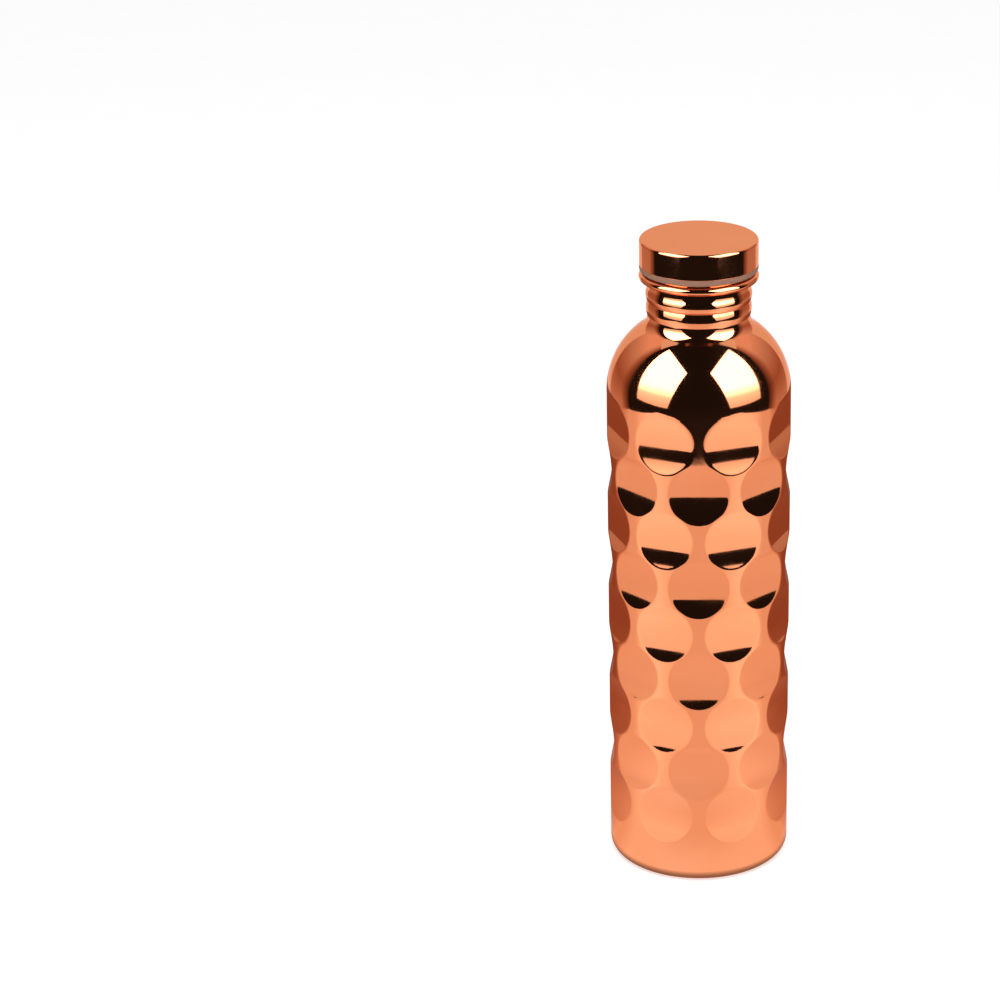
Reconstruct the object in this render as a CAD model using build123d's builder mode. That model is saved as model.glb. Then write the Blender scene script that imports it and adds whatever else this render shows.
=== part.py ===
"""Copper water bottle with a dimpled barrel, a beaded neck and a screw cap.

Millimetres, +Z up. The origin is the centre of the foot, on the surface that the
bottle stands on. The front is -Y, and a dimple of every other row faces it.
"""

from build123d import *
from math import acos, degrees, pi, sin, sqrt
import os

# ---------------------------------------------------------------- driving sizes
# shell: one drawn copper tube, closed in to a neck above and to a foot below
barrel_diameter = 73.0
shell_wall = 0.7
foot_corner_radius = 5.0
foot_land_width = 2.5
dome_start_height = 201.0
dome_radius = 32.2
neck_diameter = 40.7
neck_root_fillet = 5.6

# neck above its root fillet: plain wall, two rolled beads with a groove between, collar's seat
neck_wall_height = 0.52907
lower_bead_bulge = 0.45
lower_bead_height = 5.7
groove_depth = 0.1
groove_round = 0.4
upper_bead_bulge = 0.65
upper_bead_height = 5.1
neck_seat_diameter = 40.6
neck_seat_height = 3.8

# dimples: rows of round dents pressed in the barrel, each row turned half a pitch
dimple_rows = 9
dimples_per_row = 8
dimple_row_pitch = 20.0
first_dimple_height = 29.3
dimple_depth = 2.0
dimple_cut_radius = 37.0
punch_gap = 0.6

# base pan: pressed disc brazed in the foot
pan_wall = 0.7
pan_recess = 3.6
pan_bend = 1.0
pan_step = 0.8
pan_edge_gap = 0.3

# collar: turned copper mouth that carries the thread and the stop bead
mouth_diameter = 34.4
thread_root_diameter = 38.6
spigot_length = 3.8
collar_web = 1.9
stop_bead_diameter = 47.1
stop_bead_thickness = 3.24
stop_bead_rise = 0.97
thread_zone_height = 9.7
rim_round = 0.6

# braze fillets
braze_leg = 1.0

# cap: pressed copper shell on a moulded insert
cap_diameter = 46.7
cap_height = 10.45
cap_wall = 0.6
cap_edge_round = 1.2
insert_lip_height = 2.55
insert_lip_round = 1.1
insert_bore_diameter = 41.4
insert_top_wall = 1.6
insert_lead_in = 0.6
retaining_bead_depth = 0.8
retaining_bead_land = 0.3

# seal: silicone washer that grips a copper disc
gasket_thickness = 1.8
gasket_side_play = 0.4
gasket_end_play = 0.3
gasket_bore_diameter = 32.8
liner_diameter = 35.6
liner_thickness = 0.5
seal_gap = 0.3

# ------------------------------------------------------------- worked-out sizes
barrel_radius = barrel_diameter / 2
foot_flat_radius = barrel_radius - foot_corner_radius
foot_hole_radius = foot_flat_radius - foot_land_width
neck_radius = neck_diameter / 2
seat_radius = neck_seat_diameter / 2
mouth_radius = mouth_diameter / 2
root_radius = thread_root_diameter / 2
cap_radius = cap_diameter / 2
insert_radius = cap_radius - cap_wall
bore_radius = insert_bore_diameter / 2
gasket_radius = bore_radius - gasket_side_play

dome_centre = barrel_radius - dome_radius
root_fillet_across = neck_radius + neck_root_fillet - dome_centre
root_fillet_rise = sqrt((dome_radius + neck_root_fillet) ** 2 - root_fillet_across**2)
bead_start_height = dome_start_height + root_fillet_rise + neck_wall_height
groove_height = bead_start_height + lower_bead_height
bead_top_height = groove_height + upper_bead_height
neck_top_height = bead_top_height + neck_seat_height

stop_bead_radius = stop_bead_thickness / 2
stop_bead_centre = stop_bead_diameter / 2 - stop_bead_radius
web_top_height = neck_top_height + collar_web
rim_height = web_top_height + thread_zone_height

gasket_bottom = rim_height + seal_gap
gasket_top = gasket_bottom + gasket_thickness
insert_ceiling = gasket_top + gasket_end_play
insert_top = insert_ceiling + insert_top_wall
cap_top = insert_top + cap_wall
cap_edge_height = cap_top - cap_height
insert_bottom = cap_edge_height - insert_lip_height


# ------------------------------------------------------------------------ shell
def revolved_shell(inset):
    """Solid inside the shell's undimpled surface, with that surface moved in by inset."""
    wall_radius = barrel_radius - inset
    inner_neck = neck_radius - inset
    inner_seat = seat_radius - inset
    turn = acos((inner_neck - dome_centre) / (dome_radius - inset))
    with BuildPart() as solid:
        with BuildSketch(Plane.XZ) as section:
            with BuildLine():
                Line((0, inset), (foot_flat_radius, inset))
                CenterArc((foot_flat_radius, foot_corner_radius), foot_corner_radius - inset, -90, 90)
                Line((wall_radius, foot_corner_radius), (wall_radius, dome_start_height))
                dome = CenterArc((dome_centre, dome_start_height), dome_radius - inset, 0, degrees(turn))
                neck = Line(dome @ 1, (inner_neck, bead_start_height))
                lower_bead = ThreePointArc(
                    neck @ 1,
                    (inner_neck + lower_bead_bulge, bead_start_height + lower_bead_height / 2),
                    (inner_neck - groove_depth, groove_height),
                )
                upper_bead = ThreePointArc(
                    lower_bead @ 1,
                    (inner_seat + upper_bead_bulge, groove_height + upper_bead_height / 2),
                    (inner_seat, bead_top_height),
                )
                Polyline(upper_bead @ 1, (inner_seat, neck_top_height), (0, neck_top_height), (0, inset))
            make_face()
            neck_root = section.vertices().sort_by_distance(dome @ 1)[0]
            fillet(neck_root, radius=neck_root_fillet + inset)
            bead_start = section.vertices().sort_by_distance(neck @ 1)[0]
            groove = section.vertices().sort_by_distance(lower_bead @ 1)[0]
            fillet([bead_start, groove], radius=groove_round + inset)
        revolve(axis=Axis.Z)
    return solid.part


def press_dimples(inset):
    """Cut every dimple from the part being built; inset thickens the punches.

    A punch is a drum that lies crosswise, so a dimple is hollow along the bottle and
    straight across it. Punches of one row just miss each other.
    """
    cutter_radius = dimple_cut_radius + inset
    cutter_distance = barrel_radius - dimple_depth + dimple_cut_radius
    floor_radius = barrel_radius - dimple_depth - inset
    cutter_length = 2 * floor_radius * sin(pi / dimples_per_row) - punch_gap
    half_pitch = 180 / dimples_per_row
    for row in range(dimple_rows):
        row_height = first_dimple_height + row * dimple_row_pitch
        with Locations((0, 0, row_height)):
            with PolarLocations(cutter_distance, dimples_per_row, start_angle=(row + 1) % 2 * half_pitch):
                Cylinder(cutter_radius, cutter_length, rotation=(90, 0, 0), mode=Mode.SUBTRACT)


with BuildPart() as cavity:
    add(revolved_shell(shell_wall))
    press_dimples(shell_wall)

with BuildPart() as bottle_shell:
    add(revolved_shell(0))
    press_dimples(0)
    add(cavity.part, mode=Mode.SUBTRACT)
    with Locations((0, 0, shell_wall / 2)):
        Cylinder(foot_hole_radius, 2 * shell_wall, mode=Mode.SUBTRACT)
bottle_shell.part.label = "bottle_shell"

# --------------------------------------------------------------------- base pan
pan_wall_radius = foot_hole_radius - pan_step
pan_edge_radius = foot_flat_radius - pan_edge_gap

with BuildPart() as base_pan:
    with BuildSketch(Plane.XZ) as pan_section:
        with BuildLine():
            Polyline(
                (0, pan_recess),
                (pan_wall_radius, pan_recess),
                (pan_wall_radius, shell_wall),
                (pan_edge_radius, shell_wall),
                (pan_edge_radius, shell_wall + pan_wall),
                (pan_wall_radius + pan_wall, shell_wall + pan_wall),
                (pan_wall_radius + pan_wall, pan_recess + pan_wall),
                (0, pan_recess + pan_wall),
                close=True,
            )
        make_face()
        pan_corners = pan_section.vertices()
        upper_inside = pan_corners.sort_by_distance((pan_wall_radius, pan_recess))[0]
        upper_outside = pan_corners.sort_by_distance((pan_wall_radius + pan_wall, pan_recess + pan_wall))[0]
        lower_inside = pan_corners.sort_by_distance((pan_wall_radius, shell_wall))[0]
        lower_outside = pan_corners.sort_by_distance((pan_wall_radius + pan_wall, shell_wall + pan_wall))[0]
        fillet([upper_inside, lower_outside], radius=pan_bend)
        fillet([upper_outside, lower_inside], radius=pan_bend + pan_wall)
    revolve(axis=Axis.Z)
base_pan.part.label = "base_pan"

# the joint between foot and pan: a fillet of braze metal in the corner under the pan
with BuildPart() as base_braze_ring:
    with BuildSketch(Plane.XZ):
        with BuildLine():
            Polyline(
                (foot_hole_radius, shell_wall - braze_leg / 2),
                (foot_hole_radius, shell_wall + pan_bend),
                (pan_wall_radius, shell_wall + pan_bend),
                close=True,
            )
        make_face()
    revolve(axis=Axis.Z)
    add(base_pan.part, mode=Mode.SUBTRACT)
    add(bottle_shell.part, mode=Mode.SUBTRACT)
base_braze_ring.part.label = "base_braze_ring"

# ----------------------------------------------------------------------- collar
spigot_radius = seat_radius - shell_wall
stop_bead_height = neck_top_height + stop_bead_rise

with BuildPart() as neck_finish:
    with BuildSketch(Plane.XZ) as collar_section:
        with BuildLine():
            Polyline(
                (mouth_radius, neck_top_height - spigot_length),
                (spigot_radius, neck_top_height - spigot_length),
                (spigot_radius, neck_top_height),
                (stop_bead_centre, neck_top_height),
                (stop_bead_centre, web_top_height),
                (root_radius, web_top_height),
                (root_radius, rim_height),
                (mouth_radius, rim_height),
                close=True,
            )
        make_face()
        rim_corners = collar_section.vertices().group_by(Axis.Y)[-1]
        fillet(rim_corners, radius=rim_round)
        with Locations((stop_bead_centre, stop_bead_height)):
            Circle(stop_bead_radius)
    revolve(axis=Axis.Z)
neck_finish.part.label = "neck_finish"

# the joint between neck and collar: braze metal in the corner under the stop bead
with BuildPart() as neck_braze_ring:
    with BuildSketch(Plane.XZ):
        with BuildLine():
            Polyline(
                (seat_radius, neck_top_height - braze_leg),
                (seat_radius + braze_leg, neck_top_height),
                (seat_radius, neck_top_height),
                close=True,
            )
        make_face()
    revolve(axis=Axis.Z)
    add(neck_finish.part, mode=Mode.SUBTRACT)
neck_braze_ring.part.label = "neck_braze_ring"

# -------------------------------------------------------------------------- cap
with BuildPart() as cap_shell:
    with BuildSketch(Plane.XY.offset(cap_edge_height)):
        Circle(cap_radius)
    extrude(amount=cap_height)
    fillet(cap_shell.edges().group_by(Axis.Z)[-1], radius=cap_edge_round)
    with BuildSketch(Plane.XY.offset(cap_edge_height)):
        Circle(insert_radius)
    extrude(amount=cap_height - cap_wall, mode=Mode.SUBTRACT)
cap_shell.part.label = "cap_shell"

retaining_radius = bore_radius - retaining_bead_depth

with BuildPart() as cap_thread_insert:
    with BuildSketch(Plane.XY.offset(insert_bottom)):
        Circle(cap_radius)
    extrude(amount=insert_lip_height)
    fillet(cap_thread_insert.edges().group_by(Axis.Z)[0], radius=insert_lip_round)
    with BuildSketch(Plane.XY.offset(cap_edge_height)):
        Circle(insert_radius)
    extrude(amount=insert_top - cap_edge_height)
    with BuildSketch(Plane.XZ):
        with BuildLine():
            Polyline(
                (0, insert_bottom),
                (bore_radius + insert_lead_in, insert_bottom),
                (bore_radius, insert_bottom + insert_lead_in),
                (bore_radius, rim_height - retaining_bead_depth),
                (retaining_radius, rim_height - retaining_bead_land),
                (retaining_radius, rim_height),
                (bore_radius, rim_height + retaining_bead_land),
                (bore_radius, insert_ceiling),
                (0, insert_ceiling),
                close=True,
            )
        make_face()
    revolve(axis=Axis.Z, mode=Mode.SUBTRACT)
cap_thread_insert.part.label = "cap_thread_insert"

# ------------------------------------------------------------------------- seal
liner_height = gasket_bottom + (gasket_thickness - liner_thickness) / 2

with BuildPart() as cap_liner_disc:
    with BuildSketch(Plane.XY.offset(liner_height)):
        Circle(liner_diameter / 2)
    extrude(amount=liner_thickness)
cap_liner_disc.part.label = "cap_liner_disc"

with BuildPart() as cap_gasket:
    with BuildSketch(Plane.XY.offset(gasket_bottom)):
        Circle(gasket_radius)
        Circle(gasket_bore_diameter / 2, mode=Mode.SUBTRACT)
    extrude(amount=gasket_thickness)
    add(cap_liner_disc.part, mode=Mode.SUBTRACT)
cap_gasket.part.label = "cap_gasket"

# ----------------------------------------------------------------------- export
pieces = (
    bottle_shell,
    base_pan,
    base_braze_ring,
    neck_finish,
    neck_braze_ring,
    cap_shell,
    cap_thread_insert,
    cap_liner_disc,
    cap_gasket,
)
os.makedirs("parts", exist_ok=True)
for piece in pieces:
    export_step(piece.part, f"parts/{piece.part.label}.step")
    print(piece.part.label, round(piece.part.volume, 1), piece.part.bounding_box())
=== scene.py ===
"""Looks of a copper water bottle: a dimpled barrel, a beaded neck and a screw cap with its seal.

Metres, +Z up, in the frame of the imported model. Every turned piece is drawn as a half
outline in the XZ plane and spun about the bottle's axis. The dimples and the screw threads
are then pressed into the spun surfaces.
"""

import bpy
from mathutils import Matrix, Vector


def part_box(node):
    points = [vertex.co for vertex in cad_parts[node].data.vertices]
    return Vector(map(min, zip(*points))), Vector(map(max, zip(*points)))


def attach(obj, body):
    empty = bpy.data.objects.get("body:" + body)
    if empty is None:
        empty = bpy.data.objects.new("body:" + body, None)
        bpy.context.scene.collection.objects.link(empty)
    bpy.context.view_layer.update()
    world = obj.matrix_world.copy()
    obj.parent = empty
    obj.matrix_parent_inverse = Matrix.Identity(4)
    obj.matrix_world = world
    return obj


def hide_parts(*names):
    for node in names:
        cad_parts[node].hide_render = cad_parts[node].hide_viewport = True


bl_info = {
    "name": "Copper bottle workshop",
    "version": (1, 0, 0),
    "blender": (4, 5, 0),
    "location": "3D View > Sidebar > Bottle",
    "description": "Models the pieces of a dimpled copper bottle and its studio stage",
    "category": "Object",
}

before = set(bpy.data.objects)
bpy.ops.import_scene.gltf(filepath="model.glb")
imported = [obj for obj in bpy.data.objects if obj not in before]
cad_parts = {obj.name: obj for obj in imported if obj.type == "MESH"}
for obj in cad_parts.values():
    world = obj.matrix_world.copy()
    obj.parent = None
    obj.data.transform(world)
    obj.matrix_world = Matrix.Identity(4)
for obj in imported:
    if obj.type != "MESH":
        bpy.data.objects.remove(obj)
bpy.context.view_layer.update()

from math import acos, atan2, cos, dist, pi, radians, sin, sqrt, tau

import bpy
import numpy as np
from bpy.props import FloatProperty, FloatVectorProperty, IntProperty, PointerProperty
from bpy.types import Operator, Panel, PropertyGroup


# Faces round a turned piece, by how closely it is looked at.
ROUND = 96
ROUNDER = 144
ROUNDEST = 192
CAP_ROUND = 256
# Points closer than WELD are merged, and a point within HAIR of a radius lies on it.
WELD = 1e-6
HAIR = 1e-5
SMOOTH_BELOW = radians(35)


# ------------------------ what the frame gives
def outer_radius(node):
    """Largest distance of a CAD node from the bottle's axis."""
    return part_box(node)[1].x


def bottom_of(node):
    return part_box(node)[0].z


def top_of(node):
    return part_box(node)[1].z


# ------------------------ settings
def length(name, description, default):
    """A size in metres."""
    return FloatProperty(
        name=name, description=description, default=default, min=0.0, precision=5, unit="LENGTH"
    )


def share(name, description, default):
    """A number from nought to one."""
    return FloatProperty(
        name=name, description=description, default=default, min=0.0, max=1.0, subtype="FACTOR"
    )


def amount(name, description, default):
    """A number from nought up, such as a brightness, where 1 is white."""
    return FloatProperty(name=name, description=description, default=default, min=0.0)


def colour(name, description, default):
    """A linear colour."""
    return FloatVectorProperty(
        name=name, description=description, default=default, size=3, min=0.0, max=1.0, subtype="COLOR"
    )


def angle(name, description, default):
    return FloatProperty(name=name, description=description, default=default, subtype="ANGLE")


def place(name, description, default):
    """A point of the studio in metres, on the right where there is one on each side."""
    return FloatVectorProperty(
        name=name, description=description, default=default, size=3, precision=4, subtype="TRANSLATION"
    )


class ShellSizes(PropertyGroup):
    """Sizes of the drawn copper shell."""

    wall: length("Wall", "Thickness of the copper sheet", 0.0007)
    foot_corner: length("Foot corner", "Radius at the foot's edge", 0.005)
    foot_land: length("Foot land", "Width of the flat ring it stands on", 0.0025)
    dome_start: length("Dome start", "Height where the straight wall ends", 0.201)
    dome_radius: length("Dome radius", "Radius of the shoulder's arc", 0.0322)
    neck_radius: length("Neck radius", "Outer radius of the plain neck", 0.02035)
    neck_root: length("Neck root", "Radius of the flare under the neck", 0.0056)
    lower_bulge: length("Lower bead bulge", "How far the lower bead stands out", 0.00045)
    lower_rise: length("Lower bead rise", "Height of the lower bead", 0.0057)
    groove_depth: length("Groove depth", "How far the groove goes in", 0.0001)
    groove_round: length("Groove round", "Radius at the bottom of the groove", 0.0004)
    upper_bulge: length("Upper bead bulge", "How far the upper bead stands out", 0.00065)
    upper_rise: length("Upper bead rise", "Height of the upper bead", 0.0051)
    seat_radius: length("Seat radius", "Outer radius of the collar's seat", 0.0203)
    seat_rise: length("Seat rise", "Height of the collar's seat", 0.0038)
    seat_round: length("Seat round", "Radius between the upper bead and the seat", 0.004)


class DimpleSizes(PropertyGroup):
    """Sizes of the round dents pressed in the barrel."""

    rows: IntProperty(name="Rows", description="Number of rows of dimples", default=9, min=1)
    per_row: IntProperty(name="In a row", description="Dimples round the barrel", default=8, min=3)
    row_pitch: length("Row pitch", "Height from one row to the next", 0.020)
    first_height: length("First row", "Height of the lowest row", 0.0293)
    depth: length("Depth", "Depth at a dimple's middle", 0.002)
    punch_radius: length("Punch radius", "Radius of the drum that presses a dimple", 0.037)
    rim_softness: length("Rim softness", "How much the sheet rounds over at a rim", 0.00011)
    rim_band: length("Rim band", "Gap between dents where the mesh is finer", 0.00012)


class FootSizes(PropertyGroup):
    """Sizes of the pressed pan that closes the foot."""

    step: length("Step", "Gap between the foot and the pan's wall", 0.0008)
    bend: length("Bend", "Inner radius of the pan's bends", 0.001)
    braze: length("Braze", "Height of the braze under the pan", 0.0005)


class MouthSizes(PropertyGroup):
    """Sizes of the collar with the screw thread."""

    mouth_radius: length("Mouth radius", "Radius of the opening", 0.0172)
    spigot_radius: length("Spigot radius", "Radius of the part inside the neck", 0.0196)
    bead_thickness: length("Bead thickness", "Thickness of the stop bead", 0.00324)
    bead_rise: length("Bead rise", "Height of the bead's middle over the neck", 0.00097)
    web: length("Web", "Height of its shoulder over the neck", 0.0019)
    root_radius: length("Root radius", "Radius at the thread's root", 0.0193)
    rim_round: length("Rim round", "Radius of the rim's edges", 0.0006)
    braze: length("Braze", "Leg of the braze under the stop bead", 0.00095)


class ThreadSizes(PropertyGroup):
    """Sizes of the screw thread on the collar and in the cap."""

    lead: length("Lead", "Rise of the thread in one turn", 0.004)
    height: length("Height", "Height of the thread on the collar", 0.001)
    cap_height: length("Cap thread", "Height of the thread in the cap", 0.0011)
    crest: length("Crest", "Width of the thread's flat crest", 0.0007)
    flank: length("Flank", "Width of one sloping flank", 0.0006)
    runout: length("Run-out", "Rise over which its ends fade", 0.0004)


class CapSizes(PropertyGroup):
    """Sizes of the copper cover and the moulded insert."""

    wall: length("Wall", "Thickness of the cover", 0.0006)
    edge_round: length("Edge round", "Radius of the cover's top edge", 0.0012)
    hem: length("Hem", "Radius of the cover's lower edge", 0.00015)
    lip_round: length("Lip round", "Radius of the insert's lower edge", 0.0011)
    bore_radius: length("Bore radius", "Radius of the insert's bore", 0.0207)
    lead_in: length("Lead-in", "Bevel at the bore's mouth", 0.0006)
    bead_depth: length("Bead depth", "How far the seal's bead stands in", 0.0008)
    bead_land: length("Bead land", "Height of that bead's flat", 0.0003)
    top_wall: length("Top wall", "Thickness of the insert's closed end", 0.0016)
    fit: length("Fit", "Gap between insert and cover", 0.00003)


class SealSizes(PropertyGroup):
    """Sizes of the silicone washer and the disc in it."""

    bore_radius: length("Bore radius", "Inner radius of the washer", 0.0164)
    edge_round: length("Edge round", "Radius of the washer's edges", 0.0003)
    disc_edge: length("Disc edge", "Radius of the disc's edges", 0.00012)


class Finishes(PropertyGroup):
    """Colours of the pieces."""

    copper: colour("Copper", "Polished copper", (0.93, 0.34, 0.165))
    copper_warm: colour("Warm copper", "Copper with a trace of tarnish", (0.92, 0.31, 0.14))
    edge_tint: colour("Edge tint", "Tint seen along its surface", (1.0, 0.70, 0.58))
    satin: colour("Satin copper", "The seal's disc", (0.80, 0.36, 0.23))
    braze: colour("Braze", "Brazing alloy", (0.80, 0.62, 0.36))
    insert: colour("Insert", "Moulded insert", (0.30, 0.14, 0.085))
    silicone: colour("Silicone", "Washer", (0.86, 0.85, 0.81))
    polish: share("Polish", "Roughness of the polished copper", 0.035)


class StudioSizes(PropertyGroup):
    """Places and brightness of the studio."""

    floor_size: length("Floor", "Side of the floor", 4.0)
    table_radius: length("Table", "Radius of the table top in mirrors", 0.65)
    table: amount("Table, bright", "Brightness of the table and the low cards", 1.08)
    table_pale: amount("Table, pale", "How much brighter its palest parts are", 1.26)
    table_dim: colour("Table, dim", "Tint straight in front and at the sides", (0.88, 0.80, 0.75))
    table_far: share("Table, far", "Share of the brightness left at the edge", 0.92)
    table_back: share("Table, back", "Share of the brightness left behind the bottle", 0.33)
    card_distance: length("Card distance", "Distance of the low front card", 0.31)
    card_side: length("Card side", "Distance of the low side cards", 0.38)
    card_end: length("Card end", "How far back the side cards reach", 0.03)
    card_height: length("Card height", "Height of the low cards", 0.077)
    window_inner_low: place("Window, inner low", "Corner of a softbox", (0.187, -0.252, 0.172))
    window_outer_low: place("Window, outer low", "Corner of a softbox", (0.436, -0.088, 0.172))
    window_outer_high: place("Window, outer high", "Corner of a softbox", (0.330, -0.030, 0.80))
    window_inner_high: place("Window, inner high", "Corner of a softbox", (0.105, -0.313, 0.512))
    window_low: amount("Window, low", "Brightness at a softbox's lower edge", 1.1)
    window_middle: amount("Window, middle", "Brightness where its glow sets in", 1.8)
    window_high: amount("Window, high", "Brightness higher up", 6.2)
    window_rise: length("Window, rise", "Height at which its glow sets in", 0.24)
    window_full: length("Window, full", "Height from which it is fully bright", 0.31)
    panel_front: place("Panel, front", "Foot of a side panel at its front edge", (0.6, 0.03, 0.0))
    panel_back: place("Panel, back", "Foot of a side panel at its back edge", (0.42, 0.50, 0.0))
    panel_height: length("Panel height", "Height of the side panels", 1.0)
    panel_foot: amount("Panel, foot", "Brightness at the floor", 0.6)
    panel_low: amount("Panel, low", "Brightness a hand above the floor", 0.36)
    panel_high: amount("Panel, high", "Brightness above that", 0.95)
    shade: colour("Shade", "Colour of the dim parts of the studio", (1.0, 0.52, 0.38))
    drape_radius: length("Drape radius", "Distance of the black drape", 0.6)
    drape_height: length("Drape height", "Height of the black drape", 1.1)
    drape: amount("Drape", "Brightness of the black drape", 0.012)
    ceiling: amount("Ceiling card", "Brightness of the card overhead", 0.3)
    backdrop: colour("Backdrop", "What mirrors show of the room behind", (0.84, 0.84, 0.82))
    fill: amount("Fill", "Plain light from all round", 0.45)
    lamp_place: place("Lamp", "Place of the overhead softbox", (0.0, -0.9, 1.3))
    lamp_size: length("Lamp size", "Side of the overhead softbox", 1.2)
    lamp_tilt: angle("Lamp tilt", "Tilt of the overhead softbox", radians(35))
    lamp_power: amount("Lamp power", "Power in watts", 14.0)
    camera_distance: length("Camera distance", "Level distance of the camera", 1.262)
    camera_height: length("Camera height", "Height of the camera", 0.6576)
    camera_lens: amount("Lens", "Focal length in millimetres", 122.1)
    camera_tilt: angle("Tilt", "How far the camera looks down", radians(21.78))
    camera_shift: FloatProperty(name="Shift", description="Sideways shift of the picture", default=-0.1988)


GROUPS = {
    "bottle_shell_sizes": ShellSizes,
    "bottle_dimple_sizes": DimpleSizes,
    "bottle_foot_sizes": FootSizes,
    "bottle_mouth_sizes": MouthSizes,
    "bottle_thread_sizes": ThreadSizes,
    "bottle_cap_sizes": CapSizes,
    "bottle_seal_sizes": SealSizes,
    "bottle_finishes": Finishes,
    "bottle_studio": StudioSizes,
}


# ------------------------ drawing and turning
def let_go():
    """Leave edit mode and deselect everything, because operators act on all that is selected."""
    if bpy.context.object and bpy.context.object.mode != "OBJECT":
        bpy.ops.object.mode_set(mode="OBJECT")
    bpy.ops.object.select_all(action="DESELECT")


class Outline:
    """Half of a turned piece's section, drawn in the XZ plane from one point on."""

    def __init__(self, name, radius, height):
        let_go()
        bpy.ops.mesh.primitive_plane_add(size=0.001)
        self.piece = bpy.context.object
        self.piece.name = name
        self.piece.data.name = name
        bpy.ops.object.mode_set(mode="EDIT")
        bpy.ops.mesh.select_mode(type="VERT")
        bpy.ops.mesh.select_all(action="SELECT")
        bpy.ops.mesh.merge(type="CENTER")
        bpy.ops.transform.translate(value=(radius, 0, height))
        self.pen = (radius, height)

    def line(self, radius, height, parts=1):
        """Straight to a point, in equal parts."""
        step = ((radius - self.pen[0]) / parts, 0, (height - self.pen[1]) / parts)
        for _ in range(parts):
            bpy.ops.mesh.extrude_region_move(TRANSFORM_OT_translate={"value": step})
        self.pen = (radius, height)

    def lines(self, *stops):
        """Straight from stop to stop, each a radius, a height and perhaps a number of parts."""
        for stop in stops:
            self.line(*stop)

    def arc(self, centre, turn, parts):
        """Round a centre by an angle, anticlockwise where it is positive."""
        bpy.ops.mesh.spin(
            steps=parts, angle=turn, center=(centre[0], 0, centre[1]), axis=(0, 1, 0), use_auto_merge=False
        )
        across, up = self.pen[0] - centre[0], self.pen[1] - centre[1]
        self.pen = (
            centre[0] + across * cos(turn) - up * sin(turn),
            centre[1] + across * sin(turn) + up * cos(turn),
        )

    def arc_to(self, centre, end, parts):
        """Round a centre, the short way, as far as the bearing of a point."""
        self.arc(centre, sweep_between(centre, self.pen, end), parts)

    def spin(self, steps, turn=tau, bearing=0.0):
        """The surface of revolution about the bottle's axis, closed and facing outwards on a full turn.

        It goes clockwise seen from above, from a bearing that is measured from +X.
        """
        bpy.ops.mesh.select_all(action="SELECT")
        bpy.ops.mesh.remove_doubles(threshold=WELD)
        bpy.ops.transform.rotate(value=-bearing, orient_axis="Z", center_override=(0, 0, 0))
        bpy.ops.mesh.spin(steps=steps, angle=turn, center=(0, 0, 0), axis=(0, 0, 1))
        bpy.ops.mesh.select_all(action="SELECT")
        bpy.ops.mesh.remove_doubles(threshold=WELD)
        bpy.ops.mesh.normals_make_consistent(inside=False)
        bpy.ops.object.mode_set(mode="OBJECT")
        return self.piece


def circle_through(a, b, c):
    """Centre of the circle through three points of the section."""
    (ax, ay), (bx, by), (cx, cy) = a, b, c
    d = 2 * (ax * (by - cy) + bx * (cy - ay) + cx * (ay - by))
    aa, bb, cc = ax * ax + ay * ay, bx * bx + by * by, cx * cx + cy * cy
    return (
        (aa * (by - cy) + bb * (cy - ay) + cc * (ay - by)) / d,
        (aa * (cx - bx) + bb * (ax - cx) + cc * (bx - ax)) / d,
    )


def sweep_between(centre, start, end):
    """Signed angle under half a turn from start to end round a centre."""
    first = atan2(start[1] - centre[1], start[0] - centre[0])
    last = atan2(end[1] - centre[1], end[0] - centre[0])
    return (last - first + pi) % tau - pi


def outer_crossing(first, first_radius, second, second_radius):
    """Of the two points where two circles cross, the one farther from the bottle's axis."""
    apart = dist(first, second)
    along = (apart**2 + first_radius**2 - second_radius**2) / (2 * apart)
    off = sqrt(first_radius**2 - along**2)
    ux, uz = (second[0] - first[0]) / apart, (second[1] - first[1]) / apart
    foot = (first[0] + ux * along, first[1] + uz * along)
    return max((foot[0] - s * uz * off, foot[1] + s * ux * off) for s in (-1, 1))


def points_of(piece):
    """Radius, bearing and height of each of a piece's points."""
    flat = np.empty(len(piece.data.vertices) * 3)
    piece.data.vertices.foreach_get("co", flat)
    x, y, z = flat.reshape(-1, 3).T
    return np.hypot(x, y), np.arctan2(y, x), z


def move_points(piece, radius, bearing, height):
    """Put a piece's points back from radius, bearing and height."""
    flat = np.stack([radius * np.cos(bearing), radius * np.sin(bearing), height], axis=1).ravel()
    piece.data.vertices.foreach_set("co", flat)
    piece.data.update()


def smooth_step(x):
    x = np.clip(x, 0.0, 1.0)
    return x * x * (3 - 2 * x)


def dress(piece, finish, body, node):
    """Shade a finished piece, give it its finish and let it stand for its CAD node."""
    let_go()
    piece.select_set(True)
    bpy.context.view_layer.objects.active = piece
    bpy.ops.object.shade_smooth_by_angle(angle=SMOOTH_BELOW)
    piece.data.materials.clear()
    piece.data.materials.append(finish_named(finish))
    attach(piece, body)
    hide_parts(node)
    let_go()


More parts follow.
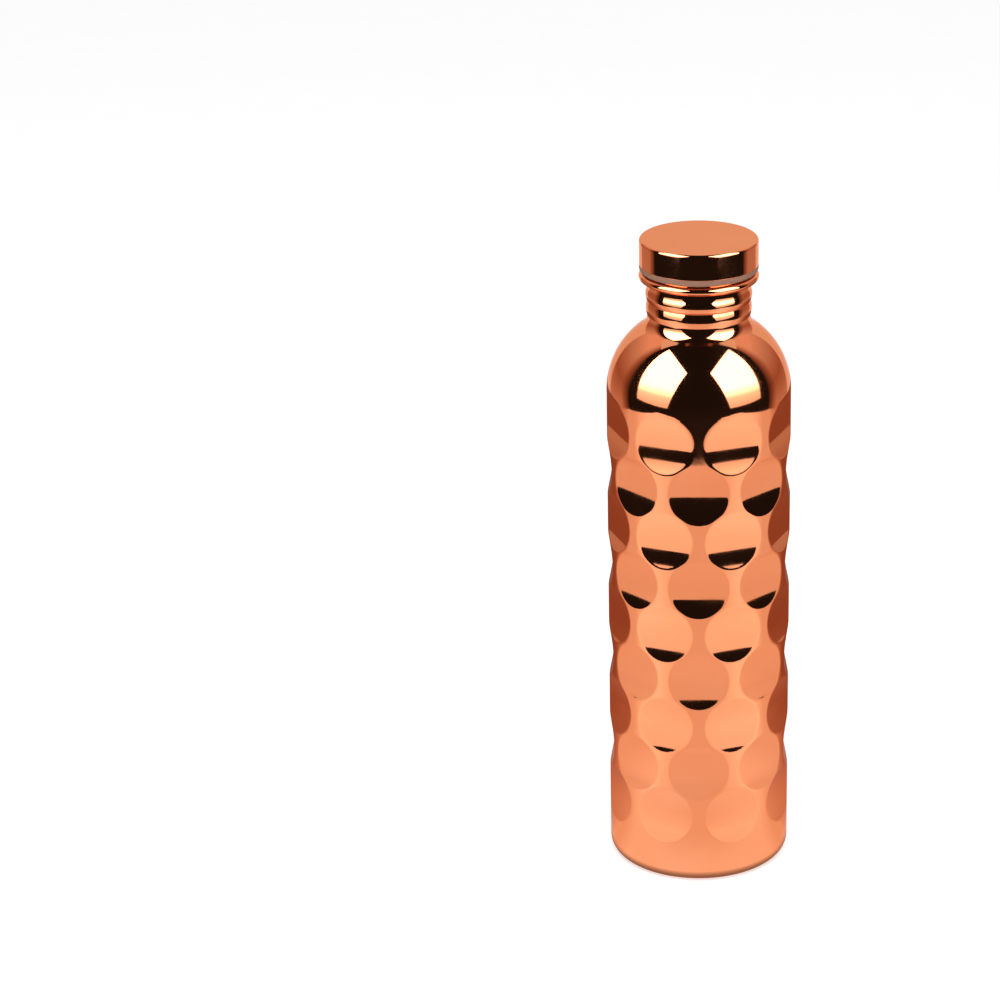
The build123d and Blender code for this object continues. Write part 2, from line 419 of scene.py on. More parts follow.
# ------------------------ patterns
class Graph:
    """The nodes of a new material or of the world, and the patterns that finishes are made of."""

    def __init__(self, owner):
        owner.use_nodes = True
        self.nodes, self.links = owner.node_tree.nodes, owner.node_tree.links

    def feed(self, node, inputs):
        """Set a node's inputs to numbers and colours, or join them to patterns."""
        for name, value in inputs.items():
            if isinstance(value, bpy.types.NodeSocket):
                self.links.new(value, node.inputs[name])
            else:
                node.inputs[name].default_value = value

    def add(self, kind, result, inputs, **settings):
        """One of the outputs of a new node."""
        node = self.nodes.new(kind)
        for name, value in settings.items():
            setattr(node, name, value)
        self.feed(node, inputs)
        return node.outputs[result]

    def maths(self, operation, *patterns):
        """Patterns worked together, such as multiplied, or one without its sign."""
        return self.add("ShaderNodeMath", "Value", dict(enumerate(patterns)), operation=operation)

    def times(self, first, second):
        """Two patterns multiplied."""
        return self.maths("MULTIPLY", first, second)

    def spread(self, value, low, high, start=0.3, end=0.7):
        """A pattern's values between start and end, spread from low to high."""
        span = {"From Min": start, "From Max": end, "To Min": low, "To Max": high}
        return self.add("ShaderNodeMapRange", "Result", {"Value": value, **span})

    def grain(self, scale, detail, stretch=(1, 1, 1)):
        """A noise pattern in object space, stretched along an axis."""
        place = self.add("ShaderNodeTexCoord", "Object", {})
        spot = self.add("ShaderNodeMapping", "Vector", {"Vector": place, "Scale": stretch})
        return self.add("ShaderNodeTexNoise", "Fac", {"Vector": spot, "Scale": scale, "Detail": detail})

    def blend(self, value, first, second):
        """A mix of two colours by a pattern."""
        colours = {"A": (*first, 1), "B": (*second, 1)}
        return self.add("ShaderNodeMix", "Result", {"Factor": value, **colours}, data_type="RGBA")

    def patches(self, scale, detail, first, second):
        """Patches of two colours that run into each other."""
        return self.blend(self.spread(self.grain(scale, detail), 0, 1), first, second)

    def tinted(self, value, under, tint):
        """A colour pattern that turns to a tint of itself."""
        colours = {"Factor": value, "A": under, "B": (*tint, 1)}
        return self.add("ShaderNodeMix", "Result", colours, data_type="RGBA", blend_type="MULTIPLY")

    def position(self):
        """X, Y and Z of a point, and its distance from the origin."""
        spot = self.add("ShaderNodeTexCoord", "Object", {})
        parts = self.nodes.new("ShaderNodeSeparateXYZ")
        self.feed(parts, {"Vector": spot})
        return (*parts.outputs, self.add("ShaderNodeVectorMath", "Value", {0: spot}, operation="LENGTH"))

    def relief(self, value, depth, **under):
        """A bump of a depth in metres, on top of another one."""
        return self.add("ShaderNodeBump", "Normal", {"Height": value, "Distance": depth, **under})


# ------------------------ finishes
def new_finish(name):
    """An empty material, its graph and its shader."""
    material = bpy.data.materials.new(name)
    graph = Graph(material)
    return material, graph, graph.nodes["Principled BSDF"]


def polished_copper(finishes):
    """Mirror-polished sheet: faint waves, haze in patches and fine polishing lines."""
    material, graph, shader = new_finish("polished_copper")
    haze = graph.grain(55, detail=5)
    waves = graph.relief(graph.grain(70, detail=1), 0.00004)
    lines = graph.grain(60, detail=2, stretch=(1, 1, 60))
    graph.feed(shader, {
        "Base Color": graph.patches(28, 3, finishes.copper, finishes.copper_warm),
        "Roughness": graph.spread(haze, finishes.polish, finishes.polish + 0.05),
        "Normal": graph.relief(lines, 0.0000008, Normal=waves),
        "Metallic": 1.0,
        "Specular Tint": (*finishes.edge_tint, 1),
    })
    return material


def satin_copper(finishes):
    """Turned copper with fine rings and a soft sheen."""
    material, graph, shader = new_finish("satin_copper")
    place = {"Vector": graph.add("ShaderNodeTexCoord", "Object", {}), "Scale": 500, "Distortion": 0.6}
    rings = graph.add("ShaderNodeTexWave", "Fac", place, wave_type="RINGS", rings_direction="Z")
    graph.feed(shader, {
        "Base Color": graph.patches(90, 4, finishes.satin, finishes.copper),
        "Roughness": graph.spread(rings, 0.22, 0.34),
        "Normal": graph.relief(rings, 0.000004),
        "Metallic": 1.0,
    })
    return material


def brazing_alloy(finishes):
    """Brazing metal as it flowed: pale, slightly rippled and part stained by the flux."""
    material, graph, shader = new_finish("brazing_alloy")
    ripple = graph.grain(900, detail=3)
    graph.feed(shader, {
        "Base Color": graph.patches(400, 4, finishes.braze, finishes.copper),
        "Roughness": graph.spread(ripple, 0.2, 0.42),
        "Normal": graph.relief(ripple, 0.00006),
        "Metallic": 1.0,
    })
    return material


def moulded_insert(finishes):
    """Fine matt moulding with a faint grain."""
    material, graph, shader = new_finish("moulded_insert")
    fine = graph.grain(5000, detail=2)
    darker = [0.85 * c for c in finishes.insert]
    graph.feed(shader, {
        "Base Color": graph.patches(120, 4, finishes.insert, darker),
        "Roughness": graph.spread(fine, 0.42, 0.58),
        "Normal": graph.relief(fine, 0.00002),
        "Specular IOR Level": 0.45,
    })
    return material


def soft_silicone(finishes):
    """Milky silicone with a slight bloom."""
    material, graph, shader = new_finish("soft_silicone")
    fine = graph.grain(3000, detail=2)
    yellowed = [c * t for c, t in zip(finishes.silicone, (0.97, 0.94, 0.88))]
    graph.feed(shader, {
        "Base Color": graph.patches(250, 5, finishes.silicone, yellowed),
        "Roughness": graph.spread(fine, 0.38, 0.52),
        "Normal": graph.relief(fine, 0.00001),
        "Subsurface Weight": 0.3,
        "Subsurface Scale": 0.002,
        "IOR": 1.41,
    })
    return material


FINISH_MAKERS = {
    "polished_copper": polished_copper,
    "satin_copper": satin_copper,
    "brazing_alloy": brazing_alloy,
    "moulded_insert": moulded_insert,
    "soft_silicone": soft_silicone,
}


def finish_named(name):
    """The finish of that name, made when a piece first needs it."""
    return bpy.data.materials.get(name) or FINISH_MAKERS[name](bpy.context.scene.bottle_finishes)


# ------------------------ shell
def shell_section(sizes):
    """The shell's spun form without its dimples, from the foot's hole up and back down inside."""
    radius = outer_radius("bottle_shell")
    top = top_of("bottle_shell")
    wall = sizes.wall
    land = radius - sizes.foot_corner
    hole = land - sizes.foot_land
    corner = (land, sizes.foot_corner)
    dome = (radius - sizes.dome_radius, sizes.dome_start)
    root_x = sizes.neck_radius + sizes.neck_root
    root_reach = sizes.dome_radius + sizes.neck_root
    root_turn = acos((root_x - dome[0]) / root_reach)
    root = (root_x, dome[1] + root_reach * sin(root_turn))
    neck, seat = sizes.neck_radius, sizes.seat_radius
    bead_top = (seat, top - sizes.seat_rise)
    groove = (neck - sizes.groove_depth, bead_top[1] - sizes.upper_rise)
    bead_start = (neck, groove[1] - sizes.lower_rise)
    lower_crown = (neck + sizes.lower_bulge, (bead_start[1] + groove[1]) / 2)
    upper_crown = (seat + sizes.upper_bulge, (groove[1] + bead_top[1]) / 2)
    lower = circle_through(bead_start, lower_crown, groove)
    upper = circle_through(groove, upper_crown, bead_top)
    lower_radius, upper_radius = dist(lower, bead_start), dist(upper, bead_top)

    # centres of the rounded corners below, between and above the beads
    soft, wide = sizes.groove_round, sizes.seat_round
    below_across, above_across = neck + soft - lower[0], seat + wide - upper[0]
    below = (neck + soft, lower[1] - sqrt((lower_radius + soft) ** 2 - below_across**2))
    between = outer_crossing(lower, lower_radius + soft, upper, upper_radius + soft)
    above = (seat + wide, upper[1] + sqrt((upper_radius + wide) ** 2 - above_across**2))

    outline = Outline("bottle_barrel", hole, 0)
    outline.line(land, 0, 2)
    outline.arc(corner, pi / 2, 8)
    outline.line(radius, sizes.dome_start, 176)
    outline.arc(dome, root_turn, 28)
    outline.arc(root, -root_turn, 10)
    outline.line(neck, below[1])
    outline.arc_to(below, lower, 2)
    outline.arc_to(lower, between, 8)
    outline.arc_to(between, upper, 4)
    outline.arc_to(upper, above, 8)
    outline.arc_to(above, (seat, above[1]), 3)
    outline.lines((seat, top, 3), (seat - wall, top), (seat - wall, above[1]))
    outline.arc_to(above, upper, 2)
    outline.arc_to(upper, between, 5)
    outline.arc_to(between, lower, 3)
    outline.arc_to(lower, below, 5)
    outline.arc_to(below, (neck - wall, below[1]), 2)
    outline.line(neck - wall, root[1])
    outline.arc(root, root_turn, 6)
    outline.arc(dome, -root_turn, 14)
    outline.line(radius - wall, sizes.foot_corner, 54)
    outline.arc(corner, -pi / 2, 5)
    outline.lines((hole, wall), (hole, 0))
    return outline.spin(ROUNDEST)


def meet_dents(piece, shell, sizes):
    """The lowest of the dents and the plain wall at each point, and the gap to the next one."""
    full = outer_radius("bottle_shell")
    radius, bearing, height = points_of(piece)
    inset = np.where(radius > full - shell.wall / 2, 0.0, shell.wall)
    on_wall = (height > shell.foot_corner) & (height < shell.dome_start)
    lowest = np.where(on_wall, full - inset, radius)
    following = np.full_like(lowest, 2 * full)
    pitch = tau / sizes.per_row
    highest = shell.dome_start + 4 * shell.wall
    for row in range(sizes.rows):
        rise = height - (sizes.first_height + row * sizes.row_pitch)
        drum = sizes.punch_radius + inset
        near = (np.abs(rise) < sizes.row_pitch) & (height < highest)
        reach = np.sqrt(np.maximum(drum**2 - rise**2, 0.0))
        floor = full - sizes.depth + sizes.punch_radius - reach
        turned = bearing + pi / 2 - (row + 1) % 2 * pitch / 2
        off_middle = (turned + pitch / 2) % pitch - pitch / 2
        dent = np.where(near, floor / np.cos(off_middle), 2 * full)
        following = np.minimum(following, np.maximum(lowest, dent))
        lowest = np.minimum(lowest, dent)
    return lowest, following - lowest


def crowd_rims(piece, shell, sizes):
    """Split the faces of the outer skin that touch a dimple's rim, so that the rims come out crisp."""
    radius, _, height = points_of(piece)
    outside = (radius > outer_radius("bottle_shell") - shell.wall / 2) & (height < shell.dome_start)
    _, apart = meet_dents(piece, shell, sizes)
    corners = np.empty(len(piece.data.loops), dtype=int)
    piece.data.loops.foreach_get("vertex_index", corners)
    corners = corners.reshape(-1, 4)
    at_rim = (apart < sizes.rim_band)[corners].any(axis=1) & outside[corners].all(axis=1)
    let_go()
    bpy.context.view_layer.objects.active = piece
    bpy.ops.object.mode_set(mode="EDIT")
    bpy.ops.mesh.select_mode(type="FACE")
    bpy.ops.mesh.select_all(action="DESELECT")
    bpy.ops.object.mode_set(mode="OBJECT")
    piece.data.polygons.foreach_set("select", at_rim)
    bpy.ops.object.mode_set(mode="EDIT")
    bpy.ops.mesh.subdivide(number_cuts=1, ngon=False)
    bpy.ops.object.mode_set(mode="OBJECT")


def press_dimples(piece, shell, sizes):
    """Press every row of dimples into the outer and the inner skin of the wall."""
    _, bearing, height = points_of(piece)
    lowest, apart = meet_dents(piece, shell, sizes)
    near = np.clip(sizes.rim_softness - apart, 0.0, None) / sizes.rim_softness
    move_points(piece, lowest - near * near * sizes.rim_softness / 4, bearing, height)


class BOTTLE_OT_press_shell(Operator):
    """Spin the copper shell and press its dimples"""

    bl_idname = "bottle.press_shell"
    bl_label = "Barrel, dome and neck"

    def execute(self, context):
        shell = context.scene.bottle_shell_sizes
        piece = shell_section(shell)
        dimples = context.scene.bottle_dimple_sizes
        crowd_rims(piece, shell, dimples)
        press_dimples(piece, shell, dimples)
        dress(piece, "polished_copper", "bottle", "bottle_shell")
        return {"FINISHED"}


# ------------------------ foot
class BOTTLE_OT_spin_foot(Operator):
    """Spin the recessed pan of the foot and the braze that holds it"""

    bl_idname = "bottle.spin_foot"
    bl_label = "Foot pan and its braze"

    def execute(self, context):
        shell = context.scene.bottle_shell_sizes
        sizes = context.scene.bottle_foot_sizes
        low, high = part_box("base_pan")
        wall = shell.wall
        hole = outer_radius("bottle_shell") - shell.foot_corner - shell.foot_land
        side = hole - sizes.step
        recess = high.z - wall
        upper = (side - sizes.bend, recess - sizes.bend)
        lower = (side + wall + sizes.bend, low.z + wall + sizes.bend)
        pan = Outline("foot_pan", 0, recess)
        pan.lines((upper[0] - sizes.bend, recess, 3), (upper[0], recess))
        pan.arc(upper, -pi / 2, 6)
        pan.line(side, lower[1])
        pan.arc(lower, pi / 2, 6)
        pan.lines((high.x, low.z), (high.x, low.z + wall), (lower[0], low.z + wall))
        pan.arc(lower, -pi / 2, 4)
        pan.line(side + wall, upper[1])
        pan.arc(upper, pi / 2, 4)
        pan.lines((upper[0] - sizes.bend, high.z), (0, high.z, 3))
        dress(pan.spin(ROUNDER), "polished_copper", "bottle", "base_pan")

        leg = hole - side
        braze = Outline("foot_braze", side, wall + leg / 2)
        braze.lines((hole, wall + leg / 2), (hole, wall - sizes.braze))
        braze.arc((hole - 2 * leg, wall - sizes.braze), radians(30), 5)
        braze.line(side, wall + leg / 2)
        dress(braze.spin(ROUND), "brazing_alloy", "bottle", "base_braze_ring")
        return {"FINISHED"}


# ------------------------ mouth
def roll_thread(piece, thread, root, start, end, rise, phase=0.0):
    """Raise a thread between two heights where a piece lies at the radius of the thread's root."""
    radius, bearing, height = points_of(piece)
    at_root = (np.abs(radius - root) < HAIR) & (height < end + thread.flank + HAIR)
    along = (height - start) / thread.lead - bearing / tau + phase
    off_crest = np.abs((along + 0.5) % 1.0 - 0.5) * thread.lead
    ridge = smooth_step(1 + (thread.crest / 2 - off_crest) / thread.flank)
    crest_height = start + (np.round(along) + bearing / tau - phase) * thread.lead
    fade_in = smooth_step((crest_height - start) / thread.runout)
    fade_out = smooth_step((end - crest_height) / thread.runout)
    lift = np.where(at_root, rise * ridge * fade_in * fade_out, 0.0)
    move_points(piece, radius + lift, bearing, height)


class BOTTLE_OT_turn_mouth(Operator):
    """Spin the collar with its stop bead, roll its thread and add the braze under it"""

    bl_idname = "bottle.turn_mouth"
    bl_label = "Mouth collar and its braze"

    def execute(self, context):
        sizes = context.scene.bottle_mouth_sizes
        thread = context.scene.bottle_thread_sizes
        low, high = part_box("neck_finish")
        neck_top = top_of("bottle_shell")
        bead_radius = sizes.bead_thickness / 2
        bead = (high.x - bead_radius, neck_top + sizes.bead_rise)
        web_top = neck_top + sizes.web
        under = bead[0] - sqrt(bead_radius**2 - sizes.bead_rise**2)
        over = bead[0] - sqrt(bead_radius**2 - (web_top - bead[1]) ** 2)
        sweep = tau - atan2(web_top - bead[1], bead[0] - over) - atan2(bead[1] - neck_top, bead[0] - under)
        rim = high.z - sizes.rim_round
        collar = Outline("mouth_collar", sizes.mouth_radius, low.z)
        collar.lines((sizes.spigot_radius, low.z), (sizes.spigot_radius, neck_top), (under, neck_top))
        collar.arc(bead, sweep, 30)
        collar.lines((sizes.root_radius, web_top), (sizes.root_radius, rim, 64))
        collar.arc((sizes.root_radius - sizes.rim_round, rim), pi / 2, 6)
        collar.line(sizes.mouth_radius + sizes.rim_round, high.z)
        collar.arc((sizes.mouth_radius + sizes.rim_round, rim), pi / 2, 6)
        collar.line(sizes.mouth_radius, low.z, 2)
        piece = collar.spin(ROUNDEST)
        start, end = web_top + thread.flank, rim - thread.flank
        roll_thread(piece, thread, sizes.root_radius, start, end, thread.height)
        dress(piece, "polished_copper", "bottle", "neck_finish")

        seat = context.scene.bottle_shell_sizes.seat_radius
        braze = Outline("neck_braze", seat - sizes.braze / 4, neck_top - sizes.braze)
        braze.line(seat, neck_top - sizes.braze)
        braze.arc((seat + sizes.braze, neck_top - sizes.braze), -pi / 2, 8)
        braze.line(seat - sizes.braze / 4, neck_top)
        braze.line(seat - sizes.braze / 4, neck_top - sizes.braze)
        dress(braze.spin(ROUND), "brazing_alloy", "bottle", "neck_braze_ring")
        return {"FINISHED"}


# ------------------------ cap
class BOTTLE_OT_press_cover(Operator):
    """Spin the cap's copper cover"""

    bl_idname = "bottle.press_cover"
    bl_label = "Cap cover"

    def execute(self, context):
        sizes = context.scene.bottle_cap_sizes
        low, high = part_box("cap_shell")
        edge = (high.x - sizes.edge_round, high.z - sizes.edge_round)
        hem = sizes.hem
        inside = high.x - sizes.wall
        cover = Outline("cap_cover", 0, high.z)
        cover.lines((edge[0] - sizes.edge_round / 6, high.z, 4), (edge[0], high.z))
        cover.arc(edge, -pi / 2, 14)
        cover.lines(
            (high.x, edge[1] - sizes.edge_round / 6), (high.x, low.z + 2 * hem, 3),
            (high.x, low.z + hem),
        )
        cover.arc((high.x - hem, low.z + hem), -pi / 2, 4)
        cover.lines((inside, low.z), (inside, high.z - sizes.wall), (0, high.z - sizes.wall))
        dress(cover.spin(CAP_ROUND), "polished_copper", "cap", "cap_shell")
        return {"FINISHED"}


class BOTTLE_OT_mould_insert(Operator):
    """Spin the cap's moulded insert and give its bore a thread"""

    bl_idname = "bottle.mould_insert"
    bl_label = "Cap insert"

    def execute(self, context):
        sizes = context.scene.bottle_cap_sizes
        thread = context.scene.bottle_thread_sizes
        low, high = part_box("cap_thread_insert")
        lip_top = bottom_of("cap_shell")
        rim = top_of("neck_finish")
        bore = sizes.bore_radius
        body = high.x - sizes.wall - sizes.fit
        ceiling = high.z - sizes.top_wall
        bead = bore - sizes.bead_depth
        lip = (high.x - sizes.lip_round, low.z + sizes.lip_round)
        insert = Outline("cap_insert", 0, ceiling)
        insert.lines(
            (bore, ceiling, 2), (bore, rim + sizes.bead_land), (bead, rim),
            (bead, rim - sizes.bead_land), (bore, rim - sizes.bead_depth),
            (bore, low.z + sizes.lead_in, 50), (bore + sizes.lead_in, low.z), (lip[0], low.z),
        )
        insert.arc(lip, pi / 2, 8)
        insert.lines(
            (high.x, lip_top), (body, lip_top), (body, high.z - sizes.fit), (0, high.z - sizes.fit),
        )
        piece = insert.spin(ROUNDEST)
        start = low.z + sizes.lead_in + thread.flank
        end = rim - sizes.bead_depth - thread.flank
        collar_start = top_of("bottle_shell") + context.scene.bottle_mouth_sizes.web + thread.flank
        phase = (start - collar_start) / thread.lead + 0.5
        roll_thread(piece, thread, bore, start, end, -thread.cap_height, phase)
        dress(piece, "moulded_insert", "cap", "cap_thread_insert")
        return {"FINISHED"}


class BOTTLE_OT_cut_seal(Operator):
    """Spin the silicone washer and the copper disc that it holds"""

    bl_idname = "bottle.cut_seal"
    bl_label = "Seal washer and disc"

    def execute(self, context):
        sizes = context.scene.bottle_seal_sizes
        low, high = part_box("cap_gasket")
        disc_low, disc_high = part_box("cap_liner_disc")
        bore, edge = sizes.bore_radius, sizes.edge_round
        washer = Outline("seal_washer", bore + edge, low.z)
        washer.line(high.x - edge, low.z, 2)
        washer.arc((high.x - edge, low.z + edge), pi / 2, 5)
        washer.line(high.x, high.z - edge)
        washer.arc((high.x - edge, high.z - edge), pi / 2, 5)
        washer.line(bore + edge, high.z, 2)
        washer.arc((bore + edge, high.z - edge), pi / 2, 5)
        washer.lines(
            (bore, disc_high.z), (disc_high.x, disc_high.z), (disc_high.x, disc_low.z),
            (bore, disc_low.z), (bore, low.z + edge),
        )
        washer.arc((bore + edge, low.z + edge), pi / 2, 5)
        dress(washer.spin(ROUNDER), "soft_silicone", "cap_seal", "cap_gasket")

        round_over = sizes.disc_edge
        disc = Outline("seal_disc", 0, disc_low.z)
        disc.line(disc_high.x - round_over, disc_low.z, 4)
        disc.arc((disc_high.x - round_over, disc_low.z + round_over), pi / 2, 4)
        disc.line(disc_high.x, disc_high.z - round_over)
        disc.arc((disc_high.x - round_over, disc_high.z - round_over), pi / 2, 4)
        disc.line(0, disc_high.z, 4)
        dress(disc.spin(ROUNDER), "satin_copper", "cap_seal", "cap_liner_disc")
        return {"FINISHED"}


# ------------------------ stage
# Where the table top's brightness changes. The first three are directions, as a share of the
# distance from the bottle's axis, and the others are distances from it in metres.
AHEAD_TO_SIDEWAYS = (0.35, 0.75)
FORWARD_TO_SIDE = (-0.4, -0.1)
SIDE_TO_BEHIND = (0.1, 0.6)
FOOT_TO_DIM_MIDDLE = (0.05, 0.08)
FOOT_TO_DIM_BACK = (0.05, 0.2)
# FOOT_TO_PALEST: where the pale parts of the table top fade up from the foot, painted shade of the bottle
# on the floor close to it.
FOOT_TO_PALEST = (0.07, 0.16)
NEAR_TO_FAR = (0.1, 0.45)
# The painted contact shadow round the foot, a dark ring in the table top: how far in it starts, how far
# out it ends, and its brightness.
CONTACT_IN, CONTACT_OUT, CONTACT = 0.0005, 0.0065, 0.3
DIM_AT_FOOT = 0.65
# Heights at which the side panels' foot ends, their dim part ends and their top part starts.
PANEL_FOOT_END, PANEL_DIM_END, PANEL_TOP = 0.04, 0.22, 0.7
# The side panels' front edge: the depth over which it fades, what is left at the edge, and how
# far the brightest part turns from warm to plain.
PANEL_FADE, PANEL_EDGE, PANEL_PALEST = 0.15, 0.05, 0.6
# Heights of the table top and the drape over the floor, and the depths the ceiling card spans.
TABLE_LIFT, DRAPE_LIFT = 0.0004, 0.004
CARD_NEAR, CARD_FAR = -0.045, 0.13
# The drape's slope: how far in its foot starts and how far out its middle bulges.
DRAPE_IN, DRAPE_BULGE = 0.1, 0.05
DRAPE_TURN, DRAPE_START = radians(190), radians(5)
# The floor's two tones, and its own glow off the camera and to it.
PAPER, PAPER_SHADE = (0.80, 0.80, 0.80), (0.78, 0.78, 0.78)
FLOOR_GLOW = (0.4, 0.55)


def new_glow(name):
    """A material that only shines, its graph and its emission."""
    material, graph, shader = new_finish(name)
    graph.nodes.remove(shader)
    shine = graph.nodes.new("ShaderNodeEmission")
    graph.feed(graph.nodes["Material Output"], {"Surface": shine.outputs["Emission"]})
    return material, graph, shine


def even_glow(name, strength, tint=(1, 1, 1)):
    """An evenly lit surface."""
    material, graph, shine = new_glow(name)
    graph.feed(shine, {"Strength": strength, "Color": (*tint, 1)})
    return material


def softbox_glow(studio):
    """A diffuser that is warm and dim at its lower edge and white higher up."""
    material, graph, shine = new_glow("softbox")
    _, _, height, _ = graph.position()
    low, middle, rise = studio.window_inner_low[2], studio.window_middle, studio.window_rise
    edge = graph.spread(height, studio.window_low, middle, low, rise)
    glow = graph.spread(height, 1.0, studio.window_high / middle, rise, studio.window_full)
    graph.feed(shine, {"Strength": graph.times(edge, glow)})
    return material


def side_glow(studio):
    """A dim warm panel that fades out at its front edge and is lighter at its foot and above."""
    material, graph, shine = new_glow("side_panel")
    _, back, height, _ = graph.position()
    front, low = studio.panel_front[1], studio.panel_low
    below = graph.spread(height, studio.panel_foot / low, 1.0, PANEL_FOOT_END, PANEL_DIM_END)
    above = graph.spread(height, low, studio.panel_high, PANEL_DIM_END, PANEL_TOP)
    fade = graph.spread(back, PANEL_EDGE, 1.0, front, front + PANEL_FADE)
    level = graph.times(graph.times(below, above), fade)
    pale = graph.spread(level, 0.0, PANEL_PALEST, low, studio.panel_foot)
    graph.feed(shine, {"Color": graph.blend(pale, studio.shade, studio.backdrop), "Strength": level})
    return material


def table_glow(studio):
    """A table top that is palest to the left and right in front and dim behind, with a painted contact
    shadow round the foot and painted shade close to the bottle.
    """
    material, graph, shine = new_glow("table_top")
    across, back, _, reach = graph.position()
    sideways = graph.maths("DIVIDE", graph.maths("ABSOLUTE", across), reach)
    backwards = graph.maths("DIVIDE", back, reach)
    ahead = graph.spread(sideways, 1.0, 0.0, *AHEAD_TO_SIDEWAYS)
    middle = graph.times(ahead, graph.spread(reach, 0.0, 1.0, *FOOT_TO_DIM_MIDDLE))
    off_middle = graph.spread(middle, 1.0, 0.0, 0.0, 1.0)
    pale = graph.times(off_middle, graph.spread(backwards, 1.0, 0.0, *FORWARD_TO_SIDE))
    front = graph.blend(pale, studio.table_dim, (1, 1, 1))
    behind = graph.spread(backwards, 0.0, 1.0, *SIDE_TO_BEHIND)
    dimmed = graph.times(behind, graph.spread(reach, DIM_AT_FOOT, 1.0, *FOOT_TO_DIM_BACK))
    loss = graph.spread(dimmed, studio.table, studio.table * studio.table_back, 0.0, 1.0)
    far = graph.spread(reach, 1.0, studio.table_far, *NEAR_TO_FAR)
    foot = outer_radius("bottle_shell")
    # Painted contact shadow: the table top darkens in a thin ring at the foot, so mirrors show a dark line
    # under the bottle.
    painted_contact_shadow = graph.spread(reach, CONTACT, 1.0, foot - CONTACT_IN, foot + CONTACT_OUT)
    # Painted shade close to the bottle: the pale parts only reach their full lift away from the foot.
    palest = graph.times(pale, graph.spread(reach, 0.0, 1.0, *FOOT_TO_PALEST))
    lift = graph.spread(palest, 1.0, studio.table_pale, 0.0, 1.0)
    graph.feed(shine, {
        "Color": graph.tinted(dimmed, front, studio.shade),
        "Strength": graph.times(graph.times(loss, far), graph.times(painted_contact_shadow, lift)),
    })
    return material


def seen_in_reflections_only(piece, material):
    """The camera and plain light pass through a piece that only mirrors should show."""
    piece.data.materials.append(material)
    piece.visible_camera = False
    piece.visible_diffuse = False
    piece.visible_shadow = False
    piece.visible_transmission = False


def panel(name, corners, material):
    """A flat studio panel through its corners."""
    let_go()
    bpy.ops.mesh.primitive_plane_add(size=1.0)
    piece = bpy.context.object
    piece.name = name
    for vertex, corner in zip(piece.data.polygons[0].vertices, corners):
        piece.data.vertices[vertex].co = corner
    piece.data.update()
    seen_in_reflections_only(piece, material)


def level_panel(name, reach, near, far, height, material):
    """A level panel: as far left as right, and from one depth to another."""
    corners = [(-reach, near), (reach, near), (reach, far), (-reach, far)]
    panel(name, [(x, y, height) for x, y in corners], material)


def upright(name, start, end, height, material):
    """A panel that stands on the floor between two points."""
    panel(name, [(*start, 0), (*end, 0), (*end, height), (*start, height)], material)


def white_floor(studio):
    """A pale floor that keeps the bottle's shadow and is white to the camera."""
    let_go()
    bpy.ops.mesh.primitive_plane_add(size=studio.floor_size)
    piece = bpy.context.object
    piece.name = "floor"
    material, graph, shine = new_glow("floor_paper")
    to_camera = graph.add("ShaderNodeLightPath", "Is Camera Ray", {})
    graph.feed(shine, {"Strength": graph.spread(to_camera, *FLOOR_GLOW, 0, 1)})
    paper = graph.add("ShaderNodeBsdfDiffuse", "BSDF", {"Color": graph.patches(40, 4, PAPER, PAPER_SHADE)})
    both = graph.add("ShaderNodeAddShader", "Shader", {0: paper, 1: shine.outputs["Emission"]})
    graph.feed(graph.nodes["Material Output"], {"Surface": both})
    piece.data.materials.append(material)


def white_world(studio):
    """White to the camera, a warm backdrop in mirrors, and plain light for everything else."""
    world = bpy.data.worlds.new("studio_white")
    bpy.context.scene.world = world
    graph = Graph(world)
    rays = graph.nodes.new("ShaderNodeLightPath").outputs
    seen = graph.maths("MAXIMUM", rays["Is Camera Ray"], rays["Is Transmission Ray"])
    mirrored = graph.maths("MAXIMUM", seen, rays["Is Glossy Ray"])
    graph.feed(graph.nodes["Background"], {
        "Color": graph.blend(rays["Is Glossy Ray"], (1, 1, 1), studio.backdrop),
        "Strength": graph.spread(mirrored, studio.fill, 1.0, 0.0, 1.0),
    })


def overhead_lamp(studio):
    """A large softbox over the front that lights the matt pieces and the floor."""
    let_go()
    bpy.ops.object.light_add(type="AREA", location=studio.lamp_place, rotation=(studio.lamp_tilt, 0, 0))
    lamp = bpy.context.object
    lamp.name = "overhead_softbox"
    lamp.data.shape = "SQUARE"
    lamp.data.size = studio.lamp_size
    lamp.data.energy = studio.lamp_power
    lamp.visible_glossy = False
    lamp.visible_camera = False


def set_camera(studio):
    """The camera, which looks down at the bottle from the front."""
    bpy.ops.object.camera_add(
        location=(0, -studio.camera_distance, studio.camera_height),
        rotation=(pi / 2 - studio.camera_tilt, 0, 0),
    )
    camera = bpy.context.object
    camera.name = "camera"
    camera.data.lens = studio.camera_lens
    camera.data.shift_x = studio.camera_shift
    bpy.context.scene.camera = camera
    bpy.context.scene.view_settings.view_transform = "Standard"


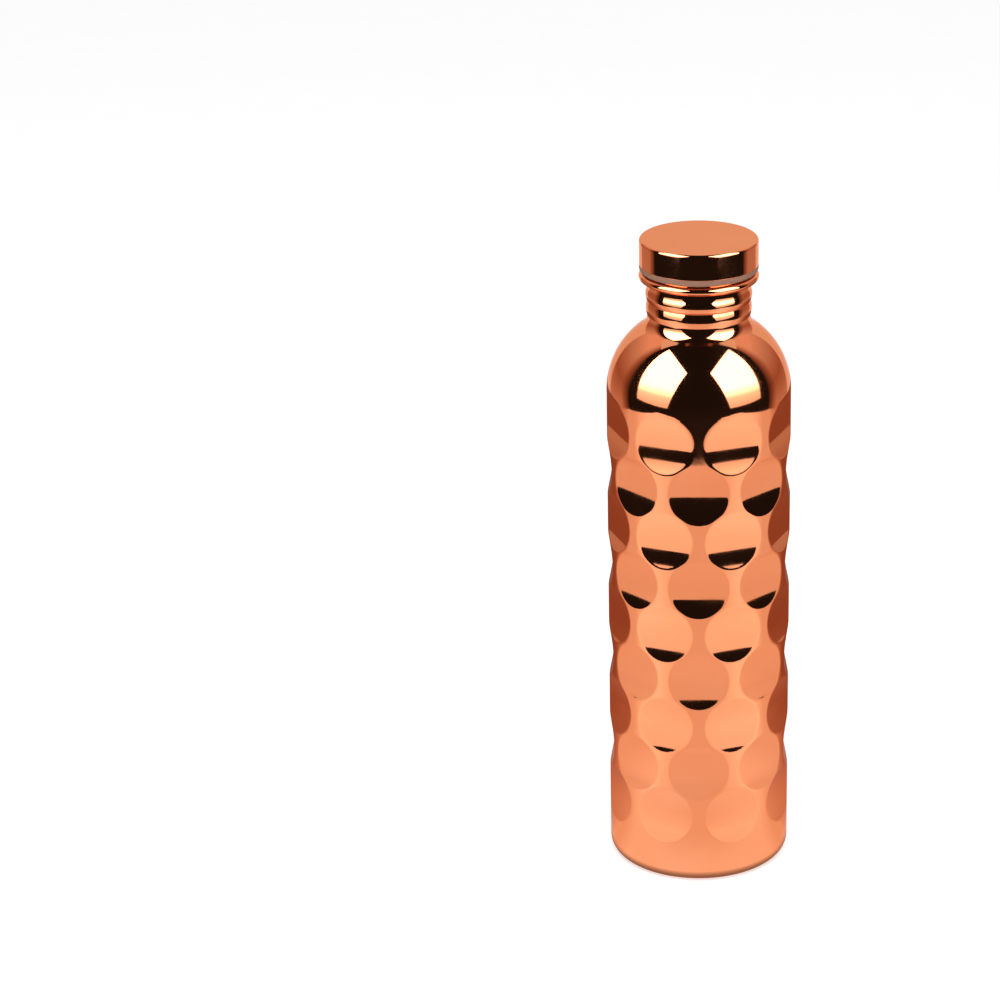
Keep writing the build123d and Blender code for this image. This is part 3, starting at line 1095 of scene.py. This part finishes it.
class BOTTLE_OT_set_stage(Operator):
    """Set up the floor, the table top, the cards, the softboxes, the drape, the lamp and the camera"""

    bl_idname = "bottle.set_stage"
    bl_label = "Studio stage"

    def execute(self, context):
        studio = context.scene.bottle_studio
        white_floor(studio)
        white_world(studio)
        front, side = -studio.card_distance, studio.card_side
        tabletop = table_glow(studio)
        drape = even_glow("black_drape", studio.drape)
        softbox, grey = softbox_glow(studio), side_glow(studio)

        table = Outline("table_top", outer_radius("base_pan"), TABLE_LIFT)
        table.line(studio.table_radius, TABLE_LIFT)
        seen_in_reflections_only(table.spin(ROUND), tabletop)

        upright("front_card", (-side, front), (side, front), studio.card_height, tabletop)
        corners = ("window_inner_low", "window_outer_low", "window_outer_high", "window_inner_high")
        near, far = studio.panel_front, studio.panel_back
        for hand, word in ((-1, "left"), (1, "right")):
            end = (hand * side, studio.card_end)
            upright(f"side_card_{word}", (hand * side, front), end, studio.card_height, tabletop)
            spots = [getattr(studio, corner) for corner in corners]
            panel(f"softbox_{word}", [(hand * spot[0], spot[1], spot[2]) for spot in spots], softbox)
            start, end = (hand * near[0], near[1]), (hand * far[0], far[1])
            upright(f"side_panel_{word}", start, end, studio.panel_height, grey)

        radius, height = studio.drape_radius, studio.drape_height
        screen = Outline("black_drape", radius - DRAPE_IN, DRAPE_LIFT)
        screen.lines((radius, DRAPE_LIFT), (radius + DRAPE_BULGE, height / 2), (radius / 3, height))
        seen_in_reflections_only(screen.spin(ROUND // 2, DRAPE_TURN, DRAPE_START), drape)
        wide = radius / 2
        level_panel("drape_top", wide, -wide, CARD_NEAR, height, drape)
        ceiling = even_glow("ceiling_card", studio.ceiling, studio.shade)
        level_panel("ceiling_card", wide, CARD_NEAR, CARD_FAR, height, ceiling)
        overhead_lamp(studio)
        set_camera(studio)
        return {"FINISHED"}


# ------------------------ the add-on
OPERATORS = (
    BOTTLE_OT_press_shell,
    BOTTLE_OT_spin_foot,
    BOTTLE_OT_turn_mouth,
    BOTTLE_OT_press_cover,
    BOTTLE_OT_mould_insert,
    BOTTLE_OT_cut_seal,
    BOTTLE_OT_set_stage,
)


class BOTTLE_PT_workshop(Panel):
    """Lists the steps of making the bottle"""

    bl_idname = "BOTTLE_PT_workshop"
    bl_label = "Copper bottle"
    bl_space_type = "VIEW_3D"
    bl_region_type = "UI"
    bl_category = "Bottle"

    def draw(self, context):
        for operator in OPERATORS:
            self.layout.operator(operator.bl_idname, text=operator.bl_label)


CLASSES = (*GROUPS.values(), *OPERATORS, BOTTLE_PT_workshop)


def register():
    for item in CLASSES:
        bpy.utils.register_class(item)
    for name, group in GROUPS.items():
        setattr(bpy.types.Scene, name, PointerProperty(type=group))


def unregister():
    for name in GROUPS:
        delattr(bpy.types.Scene, name)
    for item in reversed(CLASSES):
        bpy.utils.unregister_class(item)


def main():
    register()
    bpy.ops.bottle.press_shell()
    bpy.ops.bottle.spin_foot()
    bpy.ops.bottle.turn_mouth()
    bpy.ops.bottle.press_cover()
    bpy.ops.bottle.mould_insert()
    bpy.ops.bottle.cut_seal()
    bpy.ops.bottle.set_stage()


if __name__ == "__main__":
    main()
